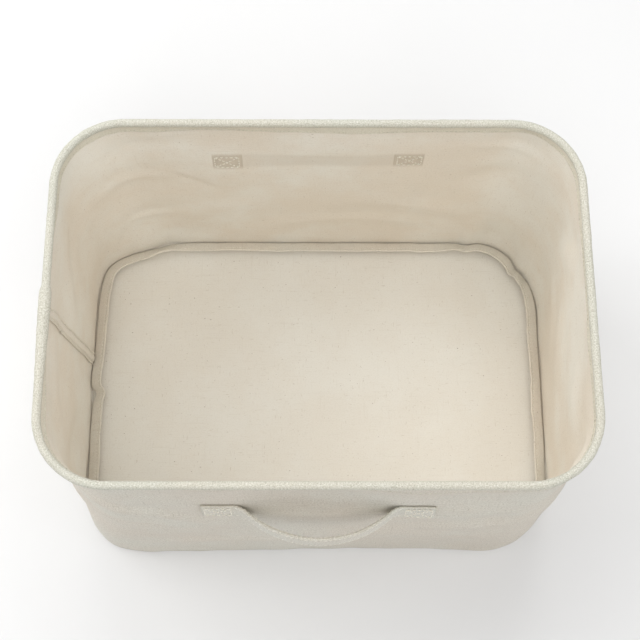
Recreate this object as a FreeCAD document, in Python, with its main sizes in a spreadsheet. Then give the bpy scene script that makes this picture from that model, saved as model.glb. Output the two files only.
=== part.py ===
"""Fabric storage bin with a wire rim: a tapered cloth wall, a cloth base and two strap handles.

Frame: millimetres, +Z up, +X along the long side, -Y towards the front. The origin is on the
ground, under the centre of the bin. The bin is symmetric about X = 0 and Y = 0, apart from the
upright seam on its left wall.
"""
import FreeCAD
import Part
import math
import os
import Sketcher
from FreeCAD import Placement, Rotation, Vector

DIMENSIONS = (
    ("rim_length", 364.0, "centre line of the rim wire, along X"),
    ("rim_width", 256.0, "centre line of the rim wire, along Y"),
    ("rim_radius", 47.0, "corner radius of the wire's centre line"),
    ("rim_height", 238.0, "wire's centre line above the ground"),
    ("wire_diameter", 3.5, "spring steel wire"),
    ("sleeve_diameter", 4.7, "crimped sleeve that joins the wire's ends"),
    ("sleeve_length", 24.0, "length of that sleeve"),
    ("sleeve_offset", 90.0, "sleeve's centre from X = 0, on the back side"),
    ("cloth_thickness", 1.2, "wall and hem cloth"),
    ("base_thickness", 1.5, "floor cloth"),
    ("hem_diameter", 6.0, "cloth tube round the wire"),
    ("hem_band_drop", 13.0, "lower edge of the inner hem band, below the wire's centre"),
    ("hem_clearance", 0.3, "between the hem and the wall below it"),
    ("wall_setback", 0.6, "inner face of the wall, outside the wire's centre line"),
    ("base_length", 382.0, "outer outline of the wall at the ground, along X"),
    ("base_width", 273.6, "the same along Y"),
    ("base_radius", 67.0, "corner radius of that outline"),
    ("fit_gap", 0.05, "between cloth parts that lie on each other"),
    ("base_gap", 0.1, "between the floor cloth and the wall"),
    ("base_tape_gap", 0.4, "between the wall and the tape round the floor"),
    ("base_tape_low", 1.6, "bottom of the tape round the floor"),
    ("base_tape_high", 7.6, "free edge of that tape, which leans inwards"),
    ("base_tape_lean", 8.3, "how far its free edge stands in from the wall"),
    ("base_tape_width", 3.2, "its thickness, measured level"),
    ("base_thread_place", 0.8, "thread's place up that tape's lean, where 1 is its free edge"),
    ("thread_diameter", 0.7, "sewing thread laid along a seam"),
    ("thread_stand", 0.28, "middle of a thread above the face it is sewn on"),
    ("hem_thread_rise", 1.75, "thread above the lower edge of the hem band"),
    ("seam_tape_width", 10.0, "tape over the upright seam"),
    ("seam_tape_thickness", 1.6, "that tape and the seam under it"),
    ("seam_tape_low", 8.5, "lower end of the upright seam's tape"),
    ("seam_tape_high", 222.0, "upper end, under the hem band"),
    ("seam_low_shift", 26.5, "lower end of the upright seam, along Y"),
    ("seam_high_shift", -4.9, "upper end of the upright seam, along Y"),
    ("seam_row_spacing", 7.4, "between the two rows of thread on that tape"),
    ("strap_width", 20.0, "handle strap, upright"),
    ("strap_thickness", 2.2, "handle strap, folded cloth"),
    ("strap_height", 174.0, "middle of the strap's sewn ends above the ground"),
    ("strap_gap", 114.0, "free stretch between the sewn ends"),
    ("strap_sewn_length", 22.5, "length of each sewn end"),
    ("strap_bow", 24.4, "how far the free stretch stands out of the wall"),
    ("strap_root_radius", 12.0, "bend where the strap leaves the wall"),
    ("strap_clearance", 0.35, "between the sewn end and the wall"),
    ("swing_offset", 10.4, "axis of the handle's swing, out from the wall"),
    ("swing_gap", 0.4, "between the swinging stretch and the strap's ends, along X"),
    ("cut_reach", 60.0, "how far the cuts that part them go, past anything they meet"),
    ("box_stitch_length", 18.0, "stitched box on each sewn end, along X"),
    ("box_stitch_height", 14.0, "the same, upright"),
    ("box_thread_width", 0.8, "width of a stitched line"),
    ("box_thread_height", 0.4, "how far a stitched line stands out"),
    ("edge_row_inset", 2.0, "row of thread along the strap, in from its edge"),
)


def make_sheet(doc):
    """Put every driving dimension in a spreadsheet cell with its own alias."""
    sheet = doc.addObject("Spreadsheet::Sheet", "dims")
    for row, (alias, value, meaning) in enumerate(DIMENSIONS, start=1):
        sheet.set(f"A{row}", str(value))
        sheet.setAlias(f"A{row}", alias)
        sheet.set(f"B{row}", meaning)
    doc.recompute()
    return sheet


def bind(target, prop, formula):
    """Bind one property to a formula of the sheet's aliases, written between braces."""
    target.setExpression(prop, formula.replace("{", "dims.").replace("}", ""))


def value_of(sheet, formula):
    """Value of the same kind of formula, for the first guess of a sketch's geometry."""
    text = formula.replace("{", "dims.").replace("}", "")
    answer = sheet.evalExpression(text)
    return float(getattr(answer, "Value", answer))


def new_body(doc, name, several=False):
    """A PartDesign body whose label is the sub-part's name."""
    body = doc.addObject("PartDesign::Body", name)
    body.Label = name
    body.AllowCompound = several
    return body


def new_sketch(body, name, plane="XY_Plane", level="0"):
    """A sketch on one of the body's own origin planes, moved along the plane's normal."""
    sketch = body.newObject("Sketcher::SketchObject", name)
    support = [item for item in body.Origin.OriginFeatures if item.Role == plane][0]
    sketch.AttachmentSupport = (support, [""])
    sketch.MapMode = "FlatFace"
    bind(sketch, ".AttachmentOffset.Base.z", level)
    return sketch


def fix(sketch, kind, *refs_and_formula):
    """Add a driven-by-the-sheet constraint: its last argument is the formula."""
    *refs, formula = refs_and_formula
    first_guess = value_of(sketch.Document.dims, formula)
    index = sketch.addConstraint(Sketcher.Constraint(kind, *refs, first_guess))
    bind(sketch, f"Constraints[{index}]", formula)


def relate(sketch, kind, *refs):
    """Add a geometric constraint, which has no size."""
    sketch.addConstraint(Sketcher.Constraint(kind, *refs))


def rounded_rectangle(sketch, length, width, radius):
    """Centred rectangle with four equal round corners; the three sizes are formulas."""
    sheet = sketch.Document.dims
    half_x = value_of(sheet, length) / 2
    half_y = value_of(sheet, width) / 2
    r = value_of(sheet, radius)
    corners = ((half_x - r, half_y - r), (r - half_x, half_y - r),
               (r - half_x, r - half_y), (half_x - r, r - half_y))
    lines = []
    arcs = []
    for quarter, (cx, cy) in enumerate(corners):
        start = quarter * math.pi / 2
        before = corners[quarter - 1]
        outward = Vector(math.cos(start), math.sin(start), 0) * r
        line = Part.LineSegment(Vector(*before, 0) + outward, Vector(cx, cy, 0) + outward)
        circle = Part.Circle(Vector(cx, cy, 0), Vector(0, 0, 1), r)
        lines.append(sketch.addGeometry(line))
        arcs.append(sketch.addGeometry(Part.ArcOfCircle(circle, start, start + math.pi / 2)))
    for quarter in range(4):
        relate(sketch, "Tangent", lines[quarter], 2, arcs[quarter], 1)
        relate(sketch, "Tangent", arcs[quarter - 1], 2, lines[quarter], 1)
        relate(sketch, "Vertical" if quarter % 2 == 0 else "Horizontal", lines[quarter])
        if quarter:
            relate(sketch, "Equal", arcs[0], arcs[quarter])
    relate(sketch, "Symmetric", arcs[0], 3, arcs[2], 3, -1, 1)
    fix(sketch, "Radius", arcs[0], radius)
    fix(sketch, "DistanceX", -1, 1, lines[0], 1, f"({length}) / 2")
    fix(sketch, "DistanceY", -1, 1, lines[1], 1, f"({width}) / 2")


def rectangle(sketch, left, right, low, high):
    """Plain rectangle between four formulas in the sketch's own X and Y."""
    sheet = sketch.Document.dims
    x0, x1, y0, y1 = (value_of(sheet, side) for side in (left, right, low, high))
    points = [Vector(x0, y0, 0), Vector(x1, y0, 0), Vector(x1, y1, 0), Vector(x0, y1, 0)]
    sides = [sketch.addGeometry(Part.LineSegment(points[i], points[(i + 1) % 4])) for i in range(4)]
    for index, side in enumerate(sides):
        relate(sketch, "Coincident", side, 2, sides[(index + 1) % 4], 1)
        relate(sketch, "Horizontal" if index % 2 == 0 else "Vertical", side)
    fix(sketch, "DistanceX", -1, 1, sides[0], 1, left)
    fix(sketch, "DistanceY", -1, 1, sides[0], 1, low)
    fix(sketch, "DistanceX", -1, 1, sides[2], 1, right)
    fix(sketch, "DistanceY", -1, 1, sides[2], 1, high)


def circle_at(sketch, x, y, diameter):
    """Circle with its centre and its diameter given by formulas."""
    sheet = sketch.Document.dims
    centre = Vector(value_of(sheet, x), value_of(sheet, y), 0)
    radius = value_of(sheet, f"({diameter}) / 2")
    circle = sketch.addGeometry(Part.Circle(centre, Vector(0, 0, 1), radius))
    fix(sketch, "Radius", circle, f"({diameter}) / 2")
    fix(sketch, "DistanceX", -1, 1, circle, 3, x)
    fix(sketch, "DistanceY", -1, 1, circle, 3, y)


def pad(body, sketch, length, reverse=False, midplane=False):
    """Pad one sketch by a formula."""
    feature = body.newObject("PartDesign::Pad", sketch.Name + "_pad")
    feature.Profile = sketch
    bind(feature, "Length", length)
    feature.Reversed = reverse
    feature.Midplane = midplane
    sketch.Visibility = False
    return feature


def cut_through(body, sketch):
    """Cut one sketch's shape out of the body, both ways from the sketch."""
    feature = body.newObject("PartDesign::Pocket", sketch.Name + "_cut")
    feature.Profile = sketch
    feature.Type = "ThroughAll"
    feature.Midplane = True
    sketch.Visibility = False
    return feature


def loft(body, kind, lower, upper):
    """Ruled loft between two sketches; kind is Additive or Subtractive."""
    feature = body.newObject(f"PartDesign::{kind}Loft", lower.Name + "_loft")
    feature.Profile = lower
    feature.Sections = [upper]
    feature.Ruled = True
    return feature


def sweep_round(body, kind, path, profile):
    """Sweep a profile sketch along a path sketch; kind is Additive or Subtractive."""
    feature = body.newObject(f"PartDesign::{kind}Pipe", profile.Name + "_sweep")
    feature.Profile = profile
    feature.Spine = path
    return feature


def outer_half(axis):
    """Formula: half the wall's outer outline at its top, along X or Y."""
    side = "{rim_length}" if axis == "X" else "{rim_width}"
    return f"({side} / 2 + {{wall_setback}} + {{cloth_thickness}})"


WALL_TOP = "({rim_height} - {hem_diameter} / 2 - {hem_clearance})"


def wall_inner_half(axis, height):
    """Formula: distance from the centre to the wall's inner face at a height."""
    base = "{base_length}" if axis == "X" else "{base_width}"
    low = f"({base} / 2 - {{cloth_thickness}})"
    high = f"({outer_half(axis)} - {{cloth_thickness}})"
    return f"({low} + ({high} - {low}) * ({height}) / {WALL_TOP})"


def make_wall_panel(doc):
    """Tapered ring of cloth, open at the top and the bottom."""
    body = new_body(doc, "wall_panel")
    inset = {"outer": "0", "inner": "{cloth_thickness}"}
    for skin, kind in (("outer", "Additive"), ("inner", "Subtractive")):
        low = new_sketch(body, f"wall_{skin}_low")
        rounded_rectangle(low, f"({{base_length}} - 2 * {inset[skin]})",
                          f"({{base_width}} - 2 * {inset[skin]})",
                          f"({{base_radius}} - {inset[skin]})")
        high = new_sketch(body, f"wall_{skin}_high", level=WALL_TOP)
        rounded_rectangle(high, f"2 * ({outer_half('X')} - {inset[skin]})",
                          f"2 * ({outer_half('Y')} - {inset[skin]})",
                          f"({{rim_radius}} + {{wall_setback}} + {{cloth_thickness}} - {inset[skin]})")
        loft(body, kind, low, high)
    return body


def make_base_panel(doc):
    """Flat cloth floor that fills the bottom of the wall."""
    body = new_body(doc, "base_panel")
    outline = new_sketch(body, "base_outline")
    margin = "({cloth_thickness} + {base_gap})"
    rounded_rectangle(outline, f"({{base_length}} - 2 * {margin})", f"({{base_width}} - 2 * {margin})",
                      f"({{base_radius}} - {margin})")
    pad(body, outline, "{base_thickness}")
    return body


def tape_outline(sketch, inset):
    """Outline of the floor tape, a formula's distance in from the wall's inner face."""
    start = "({cloth_thickness} + {base_tape_gap})"
    rounded_rectangle(sketch, f"({{base_length}} - 2 * ({start} + {inset}))",
                      f"({{base_width}} - 2 * ({start} + {inset}))",
                      f"({{base_radius}} - {start} - {inset})")


def make_base_seam_binding(doc):
    """Tape over the floor seam: a band that leans in over the floor, all the way round."""
    body = new_body(doc, "base_seam_binding")
    for skin, kind, inset in (("upper", "Additive", "0"), ("under", "Subtractive", "{base_tape_width}")):
        low = new_sketch(body, f"tape_{skin}_low", level="{base_tape_low}")
        tape_outline(low, inset)
        high = new_sketch(body, f"tape_{skin}_high", level="{base_tape_high}")
        tape_outline(high, f"({{base_tape_lean}} + {inset})")
        loft(body, kind, low, high)
    return body


def ring_of_thread(doc, name, length, width, radius, height, diameter):
    """Round thread or wire along a closed rounded rectangle; every size is a formula."""
    body = new_body(doc, name)
    path = new_sketch(body, name + "_path", level=height)
    rounded_rectangle(path, length, width, radius)
    profile = new_sketch(body, name + "_profile", plane="XZ_Plane")
    circle_at(profile, f"({length}) / 2", height, diameter)
    sweep_round(body, "Additive", path, profile)
    return body


def make_base_binding_stitching(doc):
    """Thread along the free edge of the floor tape, on its upper side."""
    rise = "({base_tape_high} - {base_tape_low})"
    slant = f"sqrt({rise} * {rise} + {{base_tape_lean}} * {{base_tape_lean}})"
    inset = ("({cloth_thickness} + {base_tape_gap} + {base_tape_lean} * {base_thread_place}"
             f" - {{thread_stand}} * {rise} / {slant})")
    height = (f"({{base_tape_low}} + {rise} * {{base_thread_place}}"
              f" + {{thread_stand}} * {{base_tape_lean}} / {slant})")
    return ring_of_thread(doc, "base_binding_stitching", f"({{base_length}} - 2 * {inset})",
                          f"({{base_width}} - 2 * {inset})", f"({{base_radius}} - {inset})",
                          height, "{thread_diameter}")


def make_rim_wire(doc):
    """Closed loop of spring wire inside the hem."""
    return ring_of_thread(doc, "rim_wire", "{rim_length}", "{rim_width}", "{rim_radius}",
                          "{rim_height}", "{wire_diameter}")


def make_rim_wire_sleeve(doc):
    """Short tube round the wire on the back side, where the wire's two ends meet."""
    body = new_body(doc, "rim_wire_sleeve")
    section = new_sketch(body, "sleeve_section", plane="YZ_Plane", level="{sleeve_offset}")
    for diameter in ("{sleeve_diameter}", "{wire_diameter}"):
        circle_at(section, "{rim_width} / 2", "{rim_height}", diameter)
    pad(body, section, "{sleeve_length}", midplane=True)
    return body


def hem_profile(sketch):
    """Section of the hem: a tube round the wire with a flat band hanging inside the wall."""
    sheet = sketch.Document.dims
    cx = value_of(sheet, "{rim_length} / 2")
    cy = value_of(sheet, "{rim_height}")
    radius = value_of(sheet, "{hem_diameter} / 2")
    outer_x = value_of(sheet, "{wall_setback} - {hem_clearance}")
    inner_x = outer_x - value_of(sheet, "{cloth_thickness}")
    low_y = cy - value_of(sheet, "{hem_band_drop}")
    start = -math.acos(outer_x / radius)
    end = 2 * math.pi - math.acos(inner_x / radius)
    circle = Part.Circle(Vector(cx, cy, 0), Vector(0, 0, 1), radius)
    tube = sketch.addGeometry(Part.ArcOfCircle(circle, start, end))
    top_outer = Vector(cx + outer_x, cy + radius * math.sin(start), 0)
    top_inner = Vector(cx + inner_x, cy + radius * math.sin(end), 0)
    low_outer = Vector(cx + outer_x, low_y, 0)
    low_inner = Vector(cx + inner_x, low_y, 0)
    inner = sketch.addGeometry(Part.LineSegment(top_inner, low_inner))
    edge = sketch.addGeometry(Part.LineSegment(low_inner, low_outer))
    outer = sketch.addGeometry(Part.LineSegment(low_outer, top_outer))
    ring = (tube, inner, edge, outer)
    for index, piece in enumerate(ring):
        relate(sketch, "Coincident", piece, 2, ring[(index + 1) % 4], 1)
    relate(sketch, "Vertical", inner)
    relate(sketch, "Horizontal", edge)
    relate(sketch, "Vertical", outer)
    fix(sketch, "Radius", tube, "{hem_diameter} / 2")
    fix(sketch, "DistanceX", -1, 1, tube, 3, "{rim_length} / 2")
    fix(sketch, "DistanceY", -1, 1, tube, 3, "{rim_height}")
    fix(sketch, "DistanceX", tube, 3, outer, 1, "{wall_setback} - {hem_clearance}")
    fix(sketch, "DistanceX", inner, 2, edge, 2, "{cloth_thickness}")
    fix(sketch, "DistanceY", edge, 1, tube, 3, "{hem_band_drop}")


def make_rim_hem(doc):
    """Top hem of the wall: cloth folded round the wire and down the inside."""
    body = new_body(doc, "rim_hem")
    path = new_sketch(body, "hem_path", level="{rim_height}")
    rounded_rectangle(path, "{rim_length}", "{rim_width}", "{rim_radius}")
    profile = new_sketch(body, "hem_profile", plane="XZ_Plane")
    hem_profile(profile)
    sweep_round(body, "Additive", path, profile)
    bore = new_sketch(body, "hem_bore", plane="XZ_Plane")
    circle_at(bore, "{rim_length} / 2", "{rim_height}", "{wire_diameter}")
    sweep_round(body, "Subtractive", path, bore)
    return body


def make_rim_hem_stitching(doc):
    """Thread near the lower edge of the hem band, on the inside."""
    inset = ("({cloth_thickness} - {wall_setback} + {hem_clearance}"
             " + {thread_diameter} / 2)")
    return ring_of_thread(doc, "rim_hem_stitching", f"({{rim_length}} - 2 * {inset})",
                          f"({{rim_width}} - 2 * {inset})", f"({{rim_radius}} - {inset})",
                          "({rim_height} - {hem_band_drop} + {hem_thread_rise})",
                          "{thread_diameter}")


def seam_shift(height):
    """Formula: place of the upright seam along Y at a height."""
    span = "({seam_tape_high} - {seam_tape_low})"
    rise = "({seam_high_shift} - {seam_low_shift})"
    return f"({{seam_low_shift}} + {rise} * ({height} - {{seam_tape_low}}) / {span})"


def slanted_strips(doc, name, rows, width, inner, outer):
    """Strips up the left wall along the seam: each row is a formula's shift along Y.

    inner and outer are formulas for the strip's two faces, measured in from the wall.
    """
    body = new_body(doc, name, several=len(rows) > 1)
    for index, row in enumerate(rows):
        ends = []
        for end, height in (("low", "{seam_tape_low}"), ("high", "{seam_tape_high}")):
            sketch = new_sketch(body, f"{name}_{end}_{index}", level=height)
            face = wall_inner_half("X", height)
            middle = f"({seam_shift(height)} + {row})"
            rectangle(sketch, f"-({face} - {outer})", f"-({face} - {inner})",
                      f"({middle} - {width} / 2)", f"({middle} + {width} / 2)")
            ends.append(sketch)
        loft(body, "Additive", ends[0], ends[1])
    return body


def make_side_seam_binding(doc):
    """Tape over the upright seam, inside the left wall."""
    return slanted_strips(doc, "side_seam_binding", ("0",), "{seam_tape_width}",
                          "({fit_gap} + {seam_tape_thickness})", "{fit_gap}")


def make_side_seam_stitching(doc):
    """Two rows of thread on that tape."""
    rows = ("-{seam_row_spacing} / 2", "{seam_row_spacing} / 2")
    face = "({fit_gap} + {seam_tape_thickness})"
    return slanted_strips(doc, "side_seam_stitching", rows, "{thread_diameter}",
                          f"({face} + {{thread_diameter}} / 2)", face)


def crown_radius(sheet):
    """Bend radius of the free stretch, from its gap, its bow and the bend at its root."""
    half_gap = sheet.strap_gap / 2
    bow = sheet.strap_bow
    return (half_gap ** 2 + bow ** 2) / (2 * bow) - sheet.strap_root_radius


CROWN_RADIUS = ("((({strap_gap} / 2) * ({strap_gap} / 2) + {strap_bow} * {strap_bow})"
                " / (2 * {strap_bow}) - {strap_root_radius})")
STRAP_MIDDLE = "({strap_clearance} + {strap_thickness} / 2)"
CROWN_CENTRE = f"({STRAP_MIDDLE} + {{strap_bow}} - {CROWN_RADIUS})"
SWING_ANGLE = f"acos(({{swing_offset}} - {CROWN_CENTRE}) / {CROWN_RADIUS})"
SWING_END = f"({CROWN_RADIUS} * sin({SWING_ANGLE}))"


def wall_lean(sheet):
    """Angle of the long walls from upright, in degrees."""
    top_half = sheet.rim_width / 2 + sheet.wall_setback + sheet.cloth_thickness
    rise = sheet.rim_height - sheet.hem_diameter / 2 - sheet.hem_clearance
    return math.degrees(math.atan((sheet.base_width / 2 - top_half) / rise))


def handle_placement(sheet, side):
    """Place of a handle's own frame: +Y out of the wall, +Z up it, X along it."""
    lean = wall_lean(sheet)
    out = sheet.base_width / 2 - sheet.strap_height * math.tan(math.radians(lean))
    tilt = Rotation(Vector(1, 0, 0), lean)
    if side == "front":
        return Placement(Vector(0, -out, sheet.strap_height), Rotation(Vector(0, 0, 1), 180) * tilt)
    return Placement(Vector(0, out, sheet.strap_height), tilt)


def revolve_crown(body, sketch):
    """Turn a section of the strap about the crown's centre, past both ends of the free stretch.

    Its ends are then cut square to the axis that it swings on, so they never meet the sewn ends.
    """
    sheet = sketch.Document.dims
    centre = value_of(sheet, CROWN_CENTRE)
    axis = sketch.addGeometry(Part.LineSegment(Vector(centre, -1, 0), Vector(centre, 1, 0)), True)
    relate(sketch, "Vertical", axis)
    fix(sketch, "DistanceX", -1, 1, axis, 1, CROWN_CENTRE)
    fix(sketch, "DistanceY", axis, 1, axis, 2, "2")
    fix(sketch, "DistanceY", -1, 1, axis, 2, "1")
    feature = body.newObject("PartDesign::Revolution", sketch.Name + "_turn")
    feature.Profile = sketch
    feature.ReferenceAxis = (sketch, ["Axis0"])
    feature.Midplane = True
    bind(feature, "Angle", f"2 * ({SWING_ANGLE} + asin({{strap_thickness}} / {CROWN_RADIUS}))")
    beyond = new_sketch(body, sketch.Name + "_beyond")
    near = f"({SWING_END} - {{swing_gap}} / 2)"
    rectangle(beyond, near, "{cut_reach}", "0", "{cut_reach}")
    rectangle(beyond, "-{cut_reach}", f"-{near}", "0", "{cut_reach}")
    return cut_through(body, beyond)


def make_handle_loop(doc, side):
    """Free stretch of the strap, which the hand takes; it swings about the sewn ends."""
    body = new_body(doc, f"{side}_handle_loop")
    section = new_sketch(body, f"{side}_loop_section", plane="YZ_Plane")
    middle = f"({STRAP_MIDDLE} + {{strap_bow}})"
    rectangle(section, f"({middle} - {{strap_thickness}} / 2)", f"({middle} + {{strap_thickness}} / 2)",
              "-{strap_width} / 2", "{strap_width} / 2")
    revolve_crown(body, section)
    return body


def make_handle_edge_stitching(doc, side):
    """Two rows of thread along the outer face of the free stretch."""
    body = new_body(doc, f"{side}_handle_edge_stitching", several=True)
    section = new_sketch(body, f"{side}_edge_section", plane="YZ_Plane")
    face = f"({STRAP_MIDDLE} + {{strap_bow}} + {{strap_thickness}} / 2)"
    row = "({strap_width} / 2 - {edge_row_inset})"
    for sign in ("-", ""):
        rectangle(section, face, f"({face} + {{box_thread_height}})",
                  f"({sign}{row} - {{thread_diameter}} / 2)", f"({sign}{row} + {{thread_diameter}} / 2)")
    revolve_crown(body, section)
    return body


def end_path(sketch):
    """Middle line of one strap end: flat on the wall, then two tangent bends out of it."""
    sheet = sketch.Document.dims
    middle = value_of(sheet, STRAP_MIDDLE)
    half_gap = sheet.strap_gap / 2
    root = sheet.strap_root_radius
    crown = crown_radius(sheet)
    turn = math.asin(half_gap / (root + crown))
    rise_end = "({swing_offset} + {strap_thickness})"
    stop = math.acos((value_of(sheet, rise_end) - value_of(sheet, CROWN_CENTRE)) / crown)
    far = Vector(half_gap + sheet.strap_sewn_length, middle, 0)
    near = Vector(half_gap, middle, 0)
    flat = sketch.addGeometry(Part.LineSegment(far, near))
    root_circle = Part.Circle(Vector(half_gap, middle + root, 0), Vector(0, 0, 1), root)
    down = 1.5 * math.pi
    bend = sketch.addGeometry(Part.ArcOfCircle(root_circle, down - turn, down))
    crown_circle = Part.Circle(Vector(0, value_of(sheet, CROWN_CENTRE), 0), Vector(0, 0, 1), crown)
    rise = sketch.addGeometry(Part.ArcOfCircle(crown_circle, math.pi / 2 - turn, math.pi / 2 - stop))
    relate(sketch, "Horizontal", flat)
    relate(sketch, "Tangent", flat, 2, bend, 2)
    relate(sketch, "Tangent", bend, 1, rise, 1)
    relate(sketch, "PointOnObject", rise, 3, -2)
    fix(sketch, "DistanceX", -1, 1, flat, 2, "{strap_gap} / 2")
    fix(sketch, "DistanceX", -1, 1, flat, 1, "{strap_gap} / 2 + {strap_sewn_length}")
    fix(sketch, "DistanceY", -1, 1, flat, 1, STRAP_MIDDLE)
    fix(sketch, "Radius", bend, "{strap_root_radius}")
    fix(sketch, "Radius", rise, CROWN_RADIUS)
    fix(sketch, "DistanceY", -1, 1, rise, 2, rise_end)


def make_handle_ends(doc, side):
    """Both ends of the strap, sewn flat on the wall, each up to where the free stretch starts."""
    body = new_body(doc, f"{side}_handle_ends", several=True)
    path = new_sketch(body, f"{side}_end_path")
    end_path(path)
    far_end = "({strap_gap} / 2 + {strap_sewn_length})"
    section = new_sketch(body, f"{side}_end_section", plane="YZ_Plane", level=far_end)
    rectangle(section, f"({STRAP_MIDDLE} - {{strap_thickness}} / 2)",
              f"({STRAP_MIDDLE} + {{strap_thickness}} / 2)", "-{strap_width} / 2", "{strap_width} / 2")
    end = sweep_round(body, "Additive", path, section)
    mirror = body.newObject("PartDesign::Mirrored", f"{side}_end_mirror")
    mirror.Originals = [end]
    plane = [item for item in body.Origin.OriginFeatures if item.Role == "YZ_Plane"][0]
    mirror.MirrorPlane = (plane, [""])
    body.Tip = mirror
    between = new_sketch(body, f"{side}_end_between")
    near = f"({SWING_END} + {{swing_gap}} / 2)"
    rectangle(between, f"-{near}", near, "0", "{cut_reach}")
    cut_through(body, between)
    return body


def box_and_cross(sketch, middle):
    """Stitched box with both diagonals: an outline with four triangular holes."""
    half_x = "{box_stitch_length} / 2"
    half_y = "{box_stitch_height} / 2"
    rectangle(sketch, f"({middle} - {half_x})", f"({middle} + {half_x})", f"-{half_y}", half_y)
    sheet = sketch.Document.dims
    cx = value_of(sheet, middle)
    ax = value_of(sheet, f"{half_x} - {{box_thread_width}}")
    ay = value_of(sheet, f"{half_y} - {{box_thread_width}}")
    slope = math.hypot(ax, ay)
    width = sheet.box_thread_width
    side_cut = width / 2 * slope / ax
    level_cut = width / 2 * slope / ay
    holes = []
    for sign in (1, -1):
        holes.append([(cx + sign * level_cut, 0), (cx + sign * ax, ay - side_cut),
                      (cx + sign * ax, side_cut - ay)])
        holes.append([(cx, sign * side_cut), (cx + ax - level_cut, sign * ay),
                      (cx - ax + level_cut, sign * ay)])
    for hole in holes:
        points = [Vector(x, y, 0) for x, y in hole]
        sides = [sketch.addGeometry(Part.LineSegment(points[i], points[(i + 1) % 3])) for i in range(3)]
        for index, edge in enumerate(sides):
            relate(sketch, "Coincident", edge, 2, sides[(index + 1) % 3], 1)
            relate(sketch, "Block", edge)


def make_box_stitches(doc, side, hand):
    """Box-and-cross stitches of one strap end, on the strap and on the inside of the wall."""
    name = f"{side}_handle_{hand}_stitches"
    body = new_body(doc, name, several=True)
    toward_positive_x = (hand == "right") == (side == "back")
    sign = "" if toward_positive_x else "-"
    middle = f"({sign}({{strap_gap}} / 2 + {{strap_sewn_length}} / 2))"
    outside = "({strap_clearance} + {strap_thickness})"
    inside = "-({cloth_thickness} + {fit_gap} + {box_thread_height})"
    for place, level in (("outside", outside), ("inside", inside)):
        sketch = new_sketch(body, f"{name}_{place}", plane="XZ_Plane", level=f"-{level}")
        box_and_cross(sketch, middle)
        pad(body, sketch, "{box_thread_height}", reverse=True)
    return body


def make_handle(doc, side):
    """Every piece of one handle, in the handle's own frame and then set on its wall."""
    pieces = [make_handle_loop(doc, side), make_handle_ends(doc, side),
              make_handle_edge_stitching(doc, side)]
    for hand in ("left", "right"):
        pieces.append(make_box_stitches(doc, side, hand))
    for piece in pieces:
        piece.Placement = handle_placement(doc.dims, side)
    return pieces


def check(doc, pieces):
    """Stop if any object failed, or any sub-part has no valid solid."""
    for item in doc.Objects:
        bad = {"Invalid", "Error"} & set(item.State)
        if bad:
            raise RuntimeError(f"{item.Name} is {sorted(bad)}: {item.getStatusString()}")
    for piece in pieces:
        shape = piece.Shape
        if shape.isNull() or not shape.isValid() or not shape.Solids:
            raise RuntimeError(f"{piece.Label} has no valid solid")


def main():
    doc = FreeCAD.newDocument("fabric_storage_bin")
    make_sheet(doc)
    pieces = [make(doc) for make in (
        make_wall_panel, make_base_panel, make_base_seam_binding, make_base_binding_stitching,
        make_side_seam_binding, make_side_seam_stitching,
        make_rim_wire, make_rim_wire_sleeve, make_rim_hem, make_rim_hem_stitching)]
    for side in ("front", "back"):
        pieces.extend(make_handle(doc, side))
    doc.recompute()
    check(doc, pieces)
    os.makedirs("parts", exist_ok=True)
    for piece in pieces:
        shape = piece.Shape
        shape.exportStep(os.path.join("parts", piece.Label + ".step"))
        box = shape.BoundBox
        print(f"{piece.Label:32s} solids {len(shape.Solids)}  volume {shape.Volume:10.1f} mm3  "
              f"x {box.XMin:7.2f} {box.XMax:7.2f}  y {box.YMin:7.2f} {box.YMax:7.2f}  "
              f"z {box.ZMin:7.2f} {box.ZMax:7.2f}")


main()
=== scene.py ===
"""Fabric storage bin: linen-blend cloth on a wire rim, with taped inner seams and two strap handles."""
import math
import bpy
import numpy as np
from mathutils import Matrix, Vector


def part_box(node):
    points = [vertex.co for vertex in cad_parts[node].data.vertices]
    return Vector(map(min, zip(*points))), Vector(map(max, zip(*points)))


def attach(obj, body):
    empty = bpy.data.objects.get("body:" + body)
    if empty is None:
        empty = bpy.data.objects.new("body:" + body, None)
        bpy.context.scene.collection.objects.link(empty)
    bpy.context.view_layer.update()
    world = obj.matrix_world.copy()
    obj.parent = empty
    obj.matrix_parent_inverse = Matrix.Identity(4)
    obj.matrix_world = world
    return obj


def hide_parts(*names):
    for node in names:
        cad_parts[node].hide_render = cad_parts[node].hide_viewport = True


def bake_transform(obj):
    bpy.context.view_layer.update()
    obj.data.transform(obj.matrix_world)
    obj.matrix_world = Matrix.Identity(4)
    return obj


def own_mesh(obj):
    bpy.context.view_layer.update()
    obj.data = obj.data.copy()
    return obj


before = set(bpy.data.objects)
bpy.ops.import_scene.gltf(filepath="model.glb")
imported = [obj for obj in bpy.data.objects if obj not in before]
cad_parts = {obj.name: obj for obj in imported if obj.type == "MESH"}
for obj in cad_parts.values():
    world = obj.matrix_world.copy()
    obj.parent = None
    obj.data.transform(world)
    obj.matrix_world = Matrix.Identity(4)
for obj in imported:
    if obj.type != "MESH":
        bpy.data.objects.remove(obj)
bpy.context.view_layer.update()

MM = 0.001

# ---------------------------------------------------------------- sizes, from the frame

WALL_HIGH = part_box("wall_panel")[1]
HEM_LOW, HEM_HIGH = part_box("rim_hem")
WIRE_LOW, WIRE_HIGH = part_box("rim_wire")
SEAM_LOW, SEAM_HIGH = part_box("side_seam_binding")
ENDS_LOW, ENDS_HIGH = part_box("back_handle_ends")

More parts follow.
